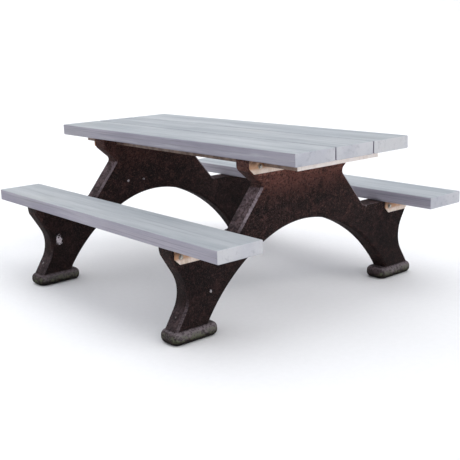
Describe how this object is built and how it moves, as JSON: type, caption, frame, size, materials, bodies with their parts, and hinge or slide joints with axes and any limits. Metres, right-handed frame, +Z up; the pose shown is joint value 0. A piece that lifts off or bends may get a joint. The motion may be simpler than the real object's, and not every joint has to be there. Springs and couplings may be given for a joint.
{
  "type": "picnic table",
  "caption": "Picnic table with a planked top and attached benches on two arched moulded end frames that stand on rounded feet.",
  "frame": {"origin": "on the ground under the middle of the tabletop", "axes": "+X along the planks, +Y across the table towards the rear bench, +Z up"},
  "size_m": [1.829, 1.52, 0.765],
  "materials": {
    "plank_plastic": "grey recycled plastic lumber with faint lengthwise streaks",
    "frame_plastic": "very dark brown moulded recycled plastic with pale and reddish flecks",
    "bracket_paint": "cream paint, slightly weathered",
    "stiffener_paint": "cream paint, slightly weathered",
    "bolt_steel": "zinc plated, dull",
    "screw_steel": "zinc plated, dull"
  },
  "bodies": {
    "root": {"top_plank_front": "plank_plastic", "top_plank_middle": "plank_plastic", "top_plank_rear": "plank_plastic", "seat_plank_front": "plank_plastic", "seat_plank_rear": "plank_plastic", "end_frame_left": "frame_plastic", "end_frame_right": "frame_plastic", "top_bracket_left": "bracket_paint", "top_bracket_right": "bracket_paint", "seat_bracket_front_left": "bracket_paint", "seat_bracket_front_right": "bracket_paint", "seat_bracket_rear_left": "bracket_paint", "seat_bracket_rear_right": "bracket_paint", "stiffener_rail_front": "stiffener_paint", "stiffener_rail_rear": "stiffener_paint", "stiffener_cross_left": "stiffener_paint", "stiffener_cross_right": "stiffener_paint", "top_bracket_lag_bolts": "bolt_steel", "seat_bracket_lag_bolts": "bolt_steel", "lag_washers": "bolt_steel", "top_plank_screws": "screw_steel", "seat_plank_screws": "screw_steel", "stiffener_screws": "screw_steel"}
  },
  "joints": []
}
